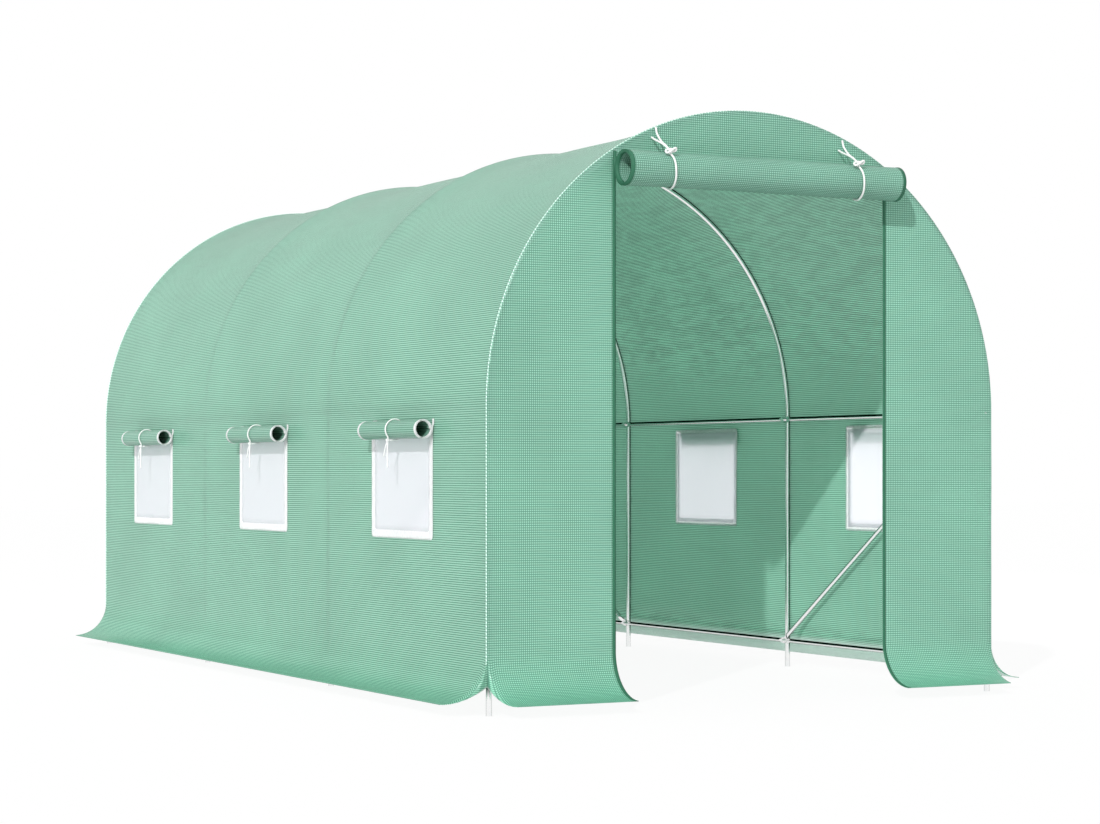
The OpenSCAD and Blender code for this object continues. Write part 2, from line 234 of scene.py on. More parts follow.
# Painted shade: the main coat darkens its cover side fully; the braces and nuts get a quarter of
# that shade.
zinc = zinc_coat("zinc_coat", 1.0)
bright_zinc = zinc_coat("bright_zinc_coat", 0.25)
for name in steel_nodes:
    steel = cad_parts[name]
    steel.data.materials.clear()
    steel.data.materials.append(bright_zinc if name.endswith("brace") else zinc)


# Body of the cover
# One width of woven ripstop sheet runs from the left hem up the wall, over the hoops and down to
# the right hem. It hangs slack between the hoops, and its lower edge flares out as a skirt.
wall_low, wall_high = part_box("left_wall_sheet")
skirt_low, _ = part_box("left_skirt")
sheet_r = -(wall_low[0] + wall_high[0]) / 2.0
skirt_top = wall_low[2]
spring = wall_high[2]
end_y = wall_high[1]
flare_r = wall_low[0] - skirt_low[0] + (wall_high[0] - wall_low[0]) / 2.0
skirt_l = flare_r * math.pi / 2.0
hoop_y = [(low[1] + high[1]) / 2.0 for low, high in
          map(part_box, ("front_arch", "second_arch", "third_arch", "rear_arch"))]
sides = ((-1.0, "left"), (1.0, "right"))
sheet_t = 0.0015
roof_sag = 0.025
sag_power = 5
sheet_slack = 0.0012
ridge_hold = 0.30
ridge_band = 0.16
# Where two skirts meet at a corner they are sewn together down to this length, and part below it
corner_seam_l = 0.100
corner_sweep = 0.032


def skirt_line(length, end_gap):
    """Offset out from the wall and height of a point of the skirt, length below the wall's foot.

    The section is a quarter ellipse, upright at the wall and level at the hem. Along the wall it
    is a quarter circle; over the sweep to a corner the hem draws in and rises to the corner seam.
    """
    near = np.clip(end_gap / corner_sweep, 0.0, 1.0)
    reach = flare_r * (1.0 - (1.0 - near) ** 2)
    share = reach / flare_r
    drop = corner_seam_l + (flare_r - corner_seam_l) * (1.0 - (1.0 - share) ** 2)
    turn = length / skirt_l * np.pi / 2.0
    out = reach * (1.0 - np.cos(turn))
    height = skirt_top - drop * ((1.0 - share) * turn * 2.0 / np.pi + share * np.sin(turn))
    round_l = np.pi / 2.0 * np.sqrt((reach ** 2 + drop ** 2) / 2.0)
    flat = length / skirt_l * ((1.0 - share) * drop + share * round_l)
    return out, height, flat


def slack(u, v):
    """Unevenness of a hung sheet, from -1 to 1: three crossing waves of unlike lengths."""
    return (np.sin(7.1 * u + 2.3 * v) + np.sin(3.7 * u - 5.9 * v + 1.1)
            + np.sin(4.1 * u + 11.3 * v + 0.4)) / 3.0


def mesh_piece(name, places, corners, sizes, maps):
    """A piece from its places, its faces' corners and sizes, and the weave map at each corner.

    Faces with four corners are shaded smooth, the others flat.
    """
    mesh = bpy.data.meshes.new(name)
    mesh.vertices.add(len(places))
    mesh.vertices.foreach_set("co", places.astype(np.float32).ravel())
    mesh.loops.add(len(corners))
    mesh.loops.foreach_set("vertex_index", corners.astype(np.int32))
    mesh.polygons.add(len(sizes))
    starts = np.concatenate([[0], np.cumsum(sizes)[:-1]])
    mesh.polygons.foreach_set("loop_start", starts.astype(np.int32))
    mesh.polygons.foreach_set("use_smooth", sizes == 4)
    layer = mesh.uv_layers.new(name="weave")
    layer.uv.foreach_set("vector", maps.astype(np.float32).ravel())
    mesh.update(calc_edges=True)
    piece = bpy.data.objects.new(name, mesh)
    scene.collection.objects.link(piece)
    return piece


def sheet_piece(name, grids):
    """A mesh of quads over one or more grids of points, with their flat lengths as the weave map.

    Each grid is (points, weave, keep): rows by columns of places, of (u, v) in metres on the flat
    sheet, and which quads are there.
    """
    places, maps, quads = [], [], []
    base = 0
    for points, weave, keep in grids:
        rows, cols = points.shape[:2]
        index = base + np.arange(rows * cols).reshape(rows, cols)
        quad = np.stack([index[:-1, :-1], index[1:, :-1], index[1:, 1:], index[:-1, 1:]], axis=-1)
        quads.append(quad.reshape(-1, 4) if keep is None else quad[keep])
        places.append(points.reshape(-1, 3))
        maps.append(weave.reshape(-1, 2))
        base += rows * cols
    places, maps, quads = np.concatenate(places), np.concatenate(maps), np.concatenate(quads)
    used, corners = np.unique(quads, return_inverse=True)
    corners = corners.ravel()
    return mesh_piece(name, places[used], corners, np.full(len(quads), 4), maps[used][corners])


def thicken(piece, thickness):
    """Gives a sheet its thickness, half to each side."""
    solid = piece.modifiers.new("thickness", "SOLIDIFY")
    solid.thickness = thickness
    solid.offset = 0.0


def weave_map(tree):
    """Place on the flat sheet, and its lengths along and across."""
    flat = shade(tree, "ShaderNodeUVMap", uv_map="weave").outputs[0]
    return flat, shade(tree, "ShaderNodeSeparateXYZ", {0: flat}).outputs


def streaks(tree, flat, lean, scale):
    """Noise drawn out into streaks that lean by an angle in degrees."""
    turned = shade(tree, "ShaderNodeMapping", {"Vector": flat, "Scale": scale,
                                               "Rotation": (0.0, 0.0, math.radians(lean))})
    return noise(tree, turned.outputs[0], 1.0)


def let_through(tree, skin, share, inputs):
    """Mixes in a share of light that goes through the sheet, and joins the mix to the output."""
    behind = shade(tree, "ShaderNodeBsdfTranslucent", inputs)
    mixed = shade(tree, "ShaderNodeMixShader", {0: share, 1: skin.outputs[0], 2: behind.outputs[0]})
    tree.links.new(mixed.outputs[0], tree.nodes["Material Output"].inputs["Surface"])
    return mixed


def ripstop(name, square, thread, through, upright_share):
    """Woven tape sheet: pale squares of coated tape between darker raised threads, both ways.

    The threads are the narrow part of a saw-tooth of the flat lengths in the weave map. The
    skirt is darker towards its hem, and its underside is painted pale as if lit from the floor.
    On the inner face the squares are painted lighter and the threads darker, and painted light
    and shade of crumples ripple over it. Part of the light goes through and colours the other side.
    """
    material, tree, skin = new_finish(name)
    flat, along = weave_map(tree)
    half_pitch = 0.00375
    lines = [ranged(tree, maths(tree, "PINGPONG", along[axis], half_pitch), 0.22 * half_pitch,
                    0.50 * half_pitch, 1.0, 0.0, interpolation_type="SMOOTHSTEP")
             for axis in (0, 1)]
    threads = maths(tree, "MAXIMUM", maths(tree, "MULTIPLY", lines[0], upright_share), lines[1])
    _, lift, outer = facing_out(tree)
    cloud = ranged(tree, noise(tree, flat, 2.2, 3.0, 0.55), 0.3, 0.7, 0.95, 1.05)
    pucker = streaks(tree, flat, -31.0, (4.0, 15.0, 1.0))
    # Painted light and shade: on the inner face the squares are lifted, and sine streaks paint
    # crumples lighter and darker.
    painted_crease_shade = maths(tree, "SINE", maths(tree, "MULTIPLY", pucker, 26.0))
    inside_lift_and_crease_shade = maths(tree, "MULTIPLY_ADD", painted_crease_shade, 0.08, 0.24)
    inside_threads_and_painted_light = maths(tree, "MULTIPLY_ADD", threads, -0.68, inside_lift_and_crease_shade)
    inner = ranged(tree, outer, -0.3, -0.1, 1.0, 0.0)
    level = maths(tree, "MULTIPLY_ADD", inner, inside_threads_and_painted_light, cloud)
    tint = shade(tree, "ShaderNodeHueSaturation", {"Color": blended(tree, threads, square, thread),
                                                   "Value": level}).outputs[0]
    low = ranged(tree, maths(tree, "ABSOLUTE", along[1]), 0.04, skirt_l, 1.0, 0.0)
    deeper = blended(tree, low, tint, (0.66, 0.87, 0.79, 1.0), blend_type="MULTIPLY")
    # Painted light: where the lower skirt's face looks down it is painted pale, standing in for
    # light from the floor below.
    under = maths(tree, "MULTIPLY", ranged(tree, lift, -0.5, -0.05, 1.0, 0.0),
                  ranged(tree, low, 0.31, 0.45, 0.0, 1.0))
    colour = blended(tree, under, deeper, (0.86, 0.95, 0.91, 1.0))
    crease = streaks(tree, flat, 38.0, (1.2, 5.5, 1.0))
    soft = bumped(tree, crease, 0.30, 0.02)
    fine = bumped(tree, pucker, 0.55, 0.008, soft)
    raised = bumped(tree, threads, 0.35, 0.0004, fine)
    fill(tree, skin, {"Base Color": colour, "Normal": raised, "Roughness": 0.22,
                      "Specular IOR Level": 0.32, "Sheen Weight": 0.22, "Sheen Roughness": 0.35})
    # The light let through is paler away from the hem and where the underside is painted pale.
    lighter = maths(tree, "MAXIMUM", ranged(tree, low, 0.0, 1.0, 0.42, 0.0), under)
    clearer = maths(tree, "MULTIPLY", lighter, ranged(tree, threads, 0.0, 1.0, 1.0, 0.25))
    pale = blended(tree, clearer, tint, (0.92, 1.0, 0.975, 1.0))
    let_through(tree, skin, through, {"Color": pale, "Normal": raised})
    return material


# Painted light and shade: the body and the end sheets are one fabric, but the ends get a lighter
# copy of it to match how they are lit.
mint = ripstop("mint_ripstop", (0.505, 0.82, 0.68, 1.0), (0.11, 0.30, 0.215, 1.0), 0.55, 0.50)
end_mint = ripstop("mint_ripstop_ends", (0.56, 0.90, 0.755, 1.0), (0.17, 0.405, 0.31, 1.0), 0.55,
                   0.90)

border_low, border_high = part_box("left_window_borders")
seam_w = 0.006
window_y = [(a + b) / 2.0 for a, b in zip(hoop_y[:-1], hoop_y[1:])]
window_span = window_y[-1] - window_y[0]
hole_half = (border_high[1] - border_low[1] - window_span) / 2.0 - seam_w
hole_z = (border_low[2] + seam_w, border_high[2] - seam_w)
hole_edges = [y + s * hole_half for y in window_y for s in (-1.0, 1.0)]

wall_l = spring - skirt_top
arch_l = math.pi * sheet_r
half_l = skirt_l + wall_l + arch_l / 2.0
foot_rows = np.linspace(0.0, skirt_l, 13)
wall_rows = skirt_l + np.unique(np.round(np.concatenate([
    np.linspace(0.0, wall_l, 28), np.array(hole_z) - skirt_top]), 5))
arch_rows = skirt_l + wall_l + np.linspace(0.0, arch_l / 2.0, 54)
half_rows = np.concatenate([foot_rows, wall_rows[1:], arch_rows[1:]])
rows = np.concatenate([half_rows, 2.0 * half_l - half_rows[-2::-1]])
cols = np.unique(np.round(np.concatenate([
    np.linspace(-end_y, end_y, 121), end_y - corner_sweep * np.linspace(0.0, 1.0, 9) ** 2,
    -end_y + corner_sweep * np.linspace(0.0, 1.0, 9) ** 2, hole_edges,
    [y + d for y in hoop_y[1:-1] for d in (-0.008, 0.0, 0.008)]]), 5))


def body_sheet(run, y):
    """Places of the body sheet: run is the length along the section from the left hem, y the length.

    The section is skirt, upright wall and half circle, mirrored. Over the arch the sheet dips
    inward by the sag times the square of the sine of the arch angle, flat in the middle of a bay
    and steep at the hoops, and the ridge rail holds it up by a share that fades beside the ridge.
    """
    side = np.where(run < half_l, -1.0, 1.0)
    near = np.minimum(run, 2.0 * half_l - run)
    out, low, reach = skirt_line(np.clip(skirt_l - near, 0.0, skirt_l), end_y - np.abs(y))
    angle = np.clip(near - skirt_l - wall_l, 0.0, None) / sheet_r
    bay = np.interp(y, hoop_y, np.arange(len(hoop_y), dtype=float))
    part = bay - np.floor(np.minimum(bay, len(hoop_y) - 1.001))
    held = 1.0 - ridge_hold * np.exp(-((np.pi / 2.0 - angle) / ridge_band) ** 2)
    dip = roof_sag * np.sin(angle) ** 2 * held * (1.0 - np.abs(2.0 * part - 1.0) ** sag_power)
    dip = dip + sheet_slack * slack(near * 1.7, y * 1.3) * 4.0 * part * (1.0 - part)
    r = sheet_r - dip
    wall_z = np.minimum(near - skirt_l + skirt_top, spring)
    x = np.where(near < skirt_l, sheet_r + out, r * np.cos(angle))
    z = np.where(near < skirt_l, low, wall_z + r * np.sin(angle))
    flat = np.where(near < skirt_l, skirt_l - reach, near)
    return np.stack([side * x, y, z], axis=-1), np.stack([y, side * flat], axis=-1)


run_grid, y_grid = np.meshgrid(rows, cols, indexing="ij")
body_points, body_weave = body_sheet(run_grid, y_grid)
mid_run = np.minimum(rows[:-1] + rows[1:], 4.0 * half_l - rows[:-1] - rows[1:]) / 2.0
mid_z = mid_run - skirt_l + skirt_top
mid_y = (cols[:-1] + cols[1:]) / 2.0
in_height = (mid_z > hole_z[0]) & (mid_z < hole_z[1])
in_width = np.min(np.abs(mid_y[:, None] - np.array(window_y)), axis=1) < hole_half
body = sheet_piece("cover_body", [(body_points, body_weave, ~np.outer(in_height, in_width))])
body.data.materials.append(mint)
thicken(body, sheet_t)
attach(body, "root")
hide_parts("front_roof_sheet", "middle_roof_sheet", "rear_roof_sheet", "left_wall_sheet",
            "right_wall_sheet", "left_skirt", "right_skirt")


# End sheets
# The front end is cut in one with its two door panels and the gable, the rear end is closed. Each
# is sewn to the body round the end hoop and ends in the same flared skirt.
front_low, front_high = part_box("front_left_panel")
front_y = (front_low[1] + front_high[1]) / 2.0
door_half = -front_high[0]
door_top = front_high[2]
end_slack = 0.0015
taut_w = 0.08


def end_columns(x, face, outward):
    """Upright columns of an end sheet at the places x: skirt, then flat up to the arch."""
    foot = np.linspace(skirt_l, 0.0, 13)
    rise = np.linspace(0.0, 1.0, 60)[1:]
    across = np.broadcast_to(x, (len(foot), len(x)))
    out, low, reach = skirt_line(np.broadcast_to(foot[:, None], across.shape),
                                 sheet_r - np.abs(across))
    top = spring + np.sqrt(np.maximum(sheet_r ** 2 - x ** 2, 0.0))
    flat_z = skirt_top + rise[:, None] * (top - skirt_top)
    flat_x = np.broadcast_to(x, flat_z.shape)
    inset = np.clip((np.abs(x) - door_half) / taut_w, 0.0, 1.0)
    bulge = end_slack * slack(flat_x * 1.9, flat_z * 1.4) * np.sin(np.pi * rise)[:, None] * inset
    points = np.concatenate([
        np.stack([across, face + outward * out, low], axis=-1),
        np.stack([flat_x, face + outward * bulge, flat_z], axis=-1)])
    weave = np.concatenate([
        np.stack([across, skirt_l - reach], axis=-1),
        np.stack([flat_x, flat_z - skirt_top + skirt_l], axis=-1)])
    return points, weave, None


corner_x = sheet_r * np.cos(np.linspace(0.0, math.acos(door_half / sheet_r), 40))
right_x = np.unique(np.round(np.concatenate([
    corner_x, sheet_r - corner_sweep * np.linspace(0.0, 1.0, 9) ** 2]), 5))
gable_x = np.linspace(-door_half, door_half, 60)
gable_rise = np.linspace(0.0, 1.0, 14)[:, None]
gable_top = spring + np.sqrt(sheet_r ** 2 - gable_x ** 2)
gable_z = door_top + gable_rise * (gable_top - door_top)
gable_flat = np.broadcast_to(gable_x, gable_z.shape)
gable = (np.stack([gable_flat, np.full(gable_z.shape, front_y), gable_z], axis=-1),
         np.stack([gable_flat, gable_z - skirt_top + skirt_l], axis=-1), None)
front = sheet_piece("front_end", [end_columns(-right_x[::-1], front_y, -1.0), gable,
                                  end_columns(right_x, front_y, -1.0)])
front.data.materials.append(end_mint)
thicken(front, sheet_t)
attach(front, "root")
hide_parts("front_left_panel", "front_right_panel", "front_gable_panel",
            "front_left_skirt", "front_right_skirt")

rear_y = sum(corner[1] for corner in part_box("rear_panel")) / 2.0
rear_x = np.concatenate([-right_x[::-1], gable_x[1:-1], right_x])
rear = sheet_piece("rear_end", [end_columns(rear_x, rear_y, 1.0)])
rear.data.materials.append(end_mint)
thicken(rear, sheet_t)
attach(rear, "root")
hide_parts("rear_panel", "rear_skirt")


# Rolled door and window flaps
# Each flap is sewn on over its opening, hangs a short way down behind its roll and winds outward.
# The door flap's sides carry dark zip tape, the window flaps' sides a white binding.
def flap_roll(radius, stand, turns, step, length, ties):
    """Places of a rolled flap as (towards the wall, up, along), about the roll's axis.

    The section is a straight hem on the wall, a soft bend out to the back of the roll, then a
    spiral that loses a fixed step each turn. The roll is drawn in a little under each tie.
    """
    hem_l = 0.012
    hem_at = radius + stand - 0.0010
    outer_r = radius - 0.0012
    hem_q = np.linspace(radius, radius - hem_l, 4)
    ease = np.linspace(0.0, 1.0, 12)[1:]
    bend_q = (radius - hem_l) * (1.0 - ease)
    bend_p = hem_at - (hem_at - outer_r) * ease * ease * (3.0 - 2.0 * ease)
    turn = np.linspace(0.0, 2.0 * np.pi * turns, int(48 * turns))[1:]
    spiral_r = outer_r - step * turn / (2.0 * np.pi)
    p = np.concatenate([np.full(4, hem_at), bend_p, spiral_r * np.cos(turn)])
    q = np.concatenate([hem_q, bend_q, -spiral_r * np.sin(turn)])
    wound = np.concatenate([np.zeros(4), ease, np.ones(len(turn))])
    angle = np.arctan2(q, p)
    flat = np.concatenate([[0.0], np.cumsum(np.hypot(np.diff(p), np.diff(q)))])
    along = np.linspace(-length / 2.0, length / 2.0, max(24, int(length / 0.012)))[:, None]
    tie_reach = 0.035
    pinch = np.exp(-((along - np.array(ties)) / tie_reach) ** 2).sum(axis=1)[:, None]
    dent = -0.035 * pinch + 0.012 * (np.sin(9.0 * along) + np.sin(23.0 * along + 0.7))
    rim_w = 0.008
    rim = np.exp(-((np.abs(along) - length / 2.0) / rim_w) ** 2)
    uneven = 1.0 + wound * (dent * 0.5 * (1.0 - np.cos(angle)) + 0.0012 / radius * rim
                            - 0.010 * (1.0 + np.sin(angle * 3.0 + along * 6.0)))
    grid = np.stack(np.broadcast_arrays(p * uneven, q * uneven, along), axis=-1)
    weave = np.stack(np.broadcast_arrays(along, np.broadcast_to(flat + 1.0, uneven.shape)), axis=-1)
    return grid, weave, flat[-1]


def bind_edges(piece, middles, half, width, axis):
    """Gives the faces near the ends of an axis the piece's second material: those further from
    the nearest of the middles than the half length less the width."""
    mesh = piece.data
    centres = np.empty(len(mesh.polygons) * 3, dtype=np.float32)
    mesh.polygons.foreach_get("center", centres)
    gap = np.min(np.abs(centres.reshape(-1, 3)[:, axis, None] - np.array(middles)), axis=1)
    mesh.polygons.foreach_set("material_index", (gap > half - width).astype(np.int32))


def tape_finish(name, colour, through=0.0):
    """Narrow woven tape: one colour with fine ribs across it and a slight mottle; a share of the
    light may go through."""
    material, tree, skin = new_finish(name)
    place = shade(tree, "ShaderNodeTexCoord").outputs["Object"]
    rib = shade(tree, "ShaderNodeTexWave", {"Vector": place, "Scale": 160.0, "Distortion": 0.6},
                bands_direction="DIAGONAL").outputs["Fac"]
    level = ranged(tree, noise(tree, place, 90.0), 0.0, 1.0, 0.85, 1.12)
    tint = shade(tree, "ShaderNodeHueSaturation", {"Color": colour, "Value": level}).outputs[0]
    fill(tree, skin, {"Base Color": tint, "Normal": bumped(tree, rib, 0.3, 0.0004),
                      "Roughness": 0.62, "Specular IOR Level": 0.25})
    if through:
        let_through(tree, skin, through, {"Color": tint})
    return material


dark_tape = tape_finish("dark_green_tape", (0.030, 0.140, 0.080, 1.0))
white_tape = tape_finish("white_binding", (0.95, 0.95, 0.955, 1.0), 0.50)

door_low, door_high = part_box("door_roll")
door_r = 0.060
door_turns = 5.2
door_step = 0.0021
door_bind_w = 0.014
hem_play = 0.0012
door_axis_z = door_high[2] - door_r
door_stand = door_high[1] - door_low[1] - 2.0 * door_r + hem_play
door_axis_y = door_high[1] - door_stand - door_r
door_l = door_high[0] - door_low[0]
door_tie_x = (-0.37, 0.37)
grid, weave, flat_l = flap_roll(door_r, door_stand, door_turns, door_step, door_l, door_tie_x)
door_points = np.stack([grid[..., 2], door_axis_y + grid[..., 0], door_axis_z + grid[..., 1]], -1)
door_roll = sheet_piece("rolled_door", [(door_points, weave, None)])
door_roll.data.materials.append(end_mint)
door_roll.data.materials.append(dark_tape)
bind_edges(door_roll, [0.0], door_l / 2.0, door_bind_w, 0)
thicken(door_roll, sheet_t)
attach(door_roll, "root")
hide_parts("door_roll")

window_r = 0.034
window_turns = 2.0
window_step = 0.0034
window_bind_w = 0.015
# Painted shade: the window rolls get a darker copy of the same sheet, standing in for their shade.
shaded_rolled_mint = ripstop("mint_ripstop_rolled_shaded", (0.33, 0.62, 0.485, 1.0), (0.09, 0.27, 0.19, 1.0),
                      0.35, 0.50)
window_roll_y = -0.025
window_roll_l = 0.475
window_tie_y = -0.032
window_axis = {}
for side, name in sides:
    low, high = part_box(name + "_window_rolls")
    window_stand = high[0] - low[0] - 2.0 * window_r + hem_play
    axis_x = side * (max(abs(low[0]), abs(high[0])) - window_r)
    axis_z = high[2] - window_r
    window_axis[name] = (axis_x, axis_z)
    grid, weave, flat_l = flap_roll(window_r, window_stand, window_turns, window_step,
                                    window_roll_l, (window_tie_y - window_roll_y,))
    grids = [(np.stack([axis_x - side * grid[..., 0], y + window_roll_y + grid[..., 2],
                        axis_z + grid[..., 1]], axis=-1), weave, None) for y in window_y]
    rolls = sheet_piece(name + "_rolled_windows", grids)
    rolls.data.materials.append(shaded_rolled_mint)
    rolls.data.materials.append(white_tape)
    bind_edges(rolls, [y + window_roll_y for y in window_y], window_roll_l / 2.0,
               window_bind_w, 1)
    thicken(rolls, sheet_t)
    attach(rolls, "root")
    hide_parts(name + "_window_rolls")


# Window nets and borders
# Each opening is closed by fine white insect net. A flat white strip is sewn on round it on the
# outside of the wall, and its turned edge shows as a narrow tape on the inside.
def rounded_loop(width, height, corner, count):
    """Points round a rectangle with rounded corners, evenly spaced by length, and their lengths."""
    w, h = width / 2.0 - corner, height / 2.0 - corner
    turn = np.linspace(0.0, np.pi / 2.0, 9)
    arcs = [np.stack([cx * w + corner * np.cos(turn + quarter * np.pi / 2.0),
                      cy * h + corner * np.sin(turn + quarter * np.pi / 2.0)], axis=-1)
            for quarter, (cx, cy) in enumerate(((1, 1), (-1, 1), (-1, -1), (1, -1)))]
    line = np.concatenate(arcs + [arcs[0][:1]])
    length = np.concatenate([[0.0], np.cumsum(np.hypot(*np.diff(line, axis=0).T))])
    at = np.linspace(0.0, length[-1], count)
    return np.stack([np.interp(at, length, line[:, k]) for k in (0, 1)], axis=-1), at


def net_finish(pitch):
    """Fine white net: round threads at a close pitch both ways, with light coming through."""
    material, tree, skin = new_finish("insect_net")
    _, along = weave_map(tree)
    threads = [maths(tree, "PINGPONG", along[axis], pitch / 2.0) for axis in (0, 1)]
    gap = ranged(tree, maths(tree, "MINIMUM", *threads), 0.2 * pitch, 0.4 * pitch, 0.0, 1.0)
    tint = blended(tree, gap, (0.99, 0.965, 1.0, 1.0), (0.93, 0.905, 1.0, 1.0))
    fill(tree, skin, {"Base Color": tint, "Roughness": 0.55,
                      "Normal": bumped(tree, gap, 0.2, 0.0003, invert=True)})
    lit = let_through(tree, skin, 0.52, {"Color": tint})
    clear = shade(tree, "ShaderNodeBsdfTransparent", {"Color": (0.97, 0.98, 1.0, 1.0)})
    mixed = shade(tree, "ShaderNodeMixShader", {0: 0.35, 1: lit.outputs[0], 2: clear.outputs[0]})
    tree.links.new(mixed.outputs[0], tree.nodes["Material Output"].inputs["Surface"])
    return material


net_t = 0.0008
net_white = net_finish(0.0022)
border_t = 0.0012
border_w = 0.028
turned_w = 0.008
border_r = 0.012
border_in_r = 0.008
border_sunk = 0.0008
turned_tape = tape_finish("white_turned_edge", (0.97, 0.97, 0.98, 1.0), 0.80)
for side, name in sides:
    low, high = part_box(name + "_window_nets")
    net_x = (low[0] + high[0]) / 2.0
    net_half = (high[1] - low[1] - window_span) / 2.0
    v, u = np.meshgrid(np.linspace(low[2], high[2], 12), np.linspace(-net_half, net_half, 14),
                       indexing="ij")
    puff = 0.0004 * slack(u * 9.0, v * 7.0)
    nets = sheet_piece(name + "_nets", [
        (np.stack([net_x + puff, y + u, v], axis=-1), np.stack([u, v], axis=-1), None)
        for y in window_y])
    nets.data.materials.append(net_white)
    thicken(nets, net_t)
    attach(nets, "root")
    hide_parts(name + "_window_nets")

    low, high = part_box(name + "_window_borders")
    border_wd = high[1] - low[1] - window_span
    border_ht = high[2] - low[2]
    outer, at = rounded_loop(border_wd, border_ht, border_r, 160)
    across = np.linspace(0.0, 1.0, 7)[None, :, None]
    grids = []
    inside_x, outside_x = sorted((low[0], high[0]), key=abs)
    for face, out, width in ((outside_x, 1.0, border_w), (inside_x, -1.0, turned_w)):
        inner, _ = rounded_loop(border_wd - 2.0 * width, border_ht - 2.0 * width, border_in_r, 160)
        ring = outer[:, None] * (1.0 - across) + inner[:, None] * across
        dome = 0.0004 * np.sin(np.pi * across[..., 0]) + 0.0002 * np.sin(at * 90.0)[:, None]
        weave = np.stack(np.broadcast_arrays(at[:, None], across[..., 0] * width), axis=-1)
        x = face - side * out * (border_t / 2.0 + border_sunk - dome)
        grids += [(np.stack([np.broadcast_to(x, ring.shape[:2]), y + ring[..., 0],
                             (low[2] + high[2]) / 2.0 + ring[..., 1]], axis=-1), weave, None)
                  for y in window_y]
    borders = sheet_piece(name + "_borders", grids)
    borders.data.materials.append(white_tape)
    borders.data.materials.append(turned_tape)
    bind_edges(borders, [outside_x], (high[0] - low[0]) / 2.0, 0.0, 0)
    thicken(borders, border_t)
    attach(borders, "root")
    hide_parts(name + "_window_borders")


# Zip tapes beside the door
# Dark green tape with a moulded coil down its middle is sewn on the panels' edges, and follows
# the skirt out to its hem.
def carried(name, runs, closed=False):
    """A profile carried along each run: place = centre + w * side + h * up, with the ends capped.

    Each run is (centre, side, up, profile); side x up points along the run, and the profile goes
    round anticlockwise. A closed run joins its last section to its first.
    """
    places, maps, corners, sizes = [], [], [], []
    base = 0
    for centre, across, up, profile in runs:
        n, m = len(centre), len(profile)
        places.append((centre[:, None] + profile[:, 0, None] * across[:, None]
                       + profile[:, 1, None] * up[:, None]).reshape(-1, 3))
        index = base + np.arange(n * m).reshape(n, m)
        along = np.concatenate([[0.0], np.cumsum(np.linalg.norm(np.diff(centre, axis=0), axis=1))])
        edge = np.linalg.norm(np.diff(profile, axis=0, append=profile[:1]), axis=1)
        around = np.concatenate([[0.0], np.cumsum(edge)])
        if closed:
            index = np.concatenate([index, index[:1]])
            along = np.append(along, along[-1] + np.linalg.norm(centre[0] - centre[-1]))
        turned = np.roll(index, -1, axis=1)
        corners.append(np.stack([index[:-1], turned[:-1], turned[1:], index[1:]], -1).ravel())
        u, v = np.meshgrid(along, around, indexing="ij")
        flat = np.stack([u, v], axis=-1)
        maps.append(np.stack([flat[:-1, :-1], flat[:-1, 1:], flat[1:, 1:], flat[1:, :-1]],
                             axis=2).reshape(-1, 2))
        sizes.append(np.full((len(index) - 1) * m, 4))
        if not closed:
            corners += [index[0, ::-1], index[-1]]
            maps += [flat[0, :m], flat[-1, :m]]
            sizes.append(np.array([m, m]))
        base += n * m
    return mesh_piece(name, np.concatenate(places), np.concatenate(corners), np.concatenate(sizes),
                      np.concatenate(maps))


zip_section = np.array([(-0.0065, -0.0007), (0.0065, -0.0007), (0.0065, 0.0), (0.0032, 0.0001),
                        (0.0024, 0.0007), (0.0, 0.0009), (-0.0024, 0.0007), (-0.0032, 0.0001),
                        (-0.0065, 0.0)])
zip_r = flare_r - 0.0016
for side, name in sides:
    low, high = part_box(name + "_door_zip")
    zip_x = (low[0] + high[0]) / 2.0
    bend = np.linspace(math.pi / 2.0, 0.0, 24)
    rise = np.linspace(skirt_top, high[2], 40)[1:]
    out = np.concatenate([flare_r - zip_r * np.cos(bend), np.full(len(rise), flare_r - zip_r)])
    height = np.concatenate([skirt_top - zip_r * np.sin(bend), rise])
    turn = np.concatenate([bend, np.zeros(len(rise))])
    centre = np.stack([np.full(len(out), zip_x), front_y - out, height], axis=-1)
    up = np.stack([np.zeros(len(out)), -np.cos(turn), np.sin(turn)], axis=-1)
    across = np.stack([np.ones(len(out)), np.zeros(len(out)), np.zeros(len(out))], axis=-1)
    tape = carried(name + "_zip_tape", [(centre[::-1], across, up[::-1], zip_section)])
    tape.data.materials.append(dark_tape)
    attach(tape, "root")
    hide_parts(name + "_door_zip")


# Corner piping
# The body and the end sheets are joined by an overlocked seam that stands up as a cord of
# stitches just behind the edge, along the legs and the arch of each end. Its pale thread is the
# seam's and also a painted highlight along the rounded corner.
def stitch_finish(name, pale, ground, pitch):
    """Overlock stitching: pale thread over the sheet's own colour, in even stitches on the seam."""
    material, tree, skin = new_finish(name)
    _, along = weave_map(tree)
    slanted = maths(tree, "MULTIPLY_ADD", along[1], 0.5, along[0])
    thread = ranged(tree, maths(tree, "PINGPONG", slanted, pitch / 2.0), 0.15 * pitch,
                    0.28 * pitch, 1.0, 0.0, interpolation_type="SMOOTHSTEP")
    fill(tree, skin, {"Base Color": blended(tree, thread, ground, pale), "Roughness": 0.6,
                      "Normal": bumped(tree, thread, 0.5, 0.0006)})
    return material


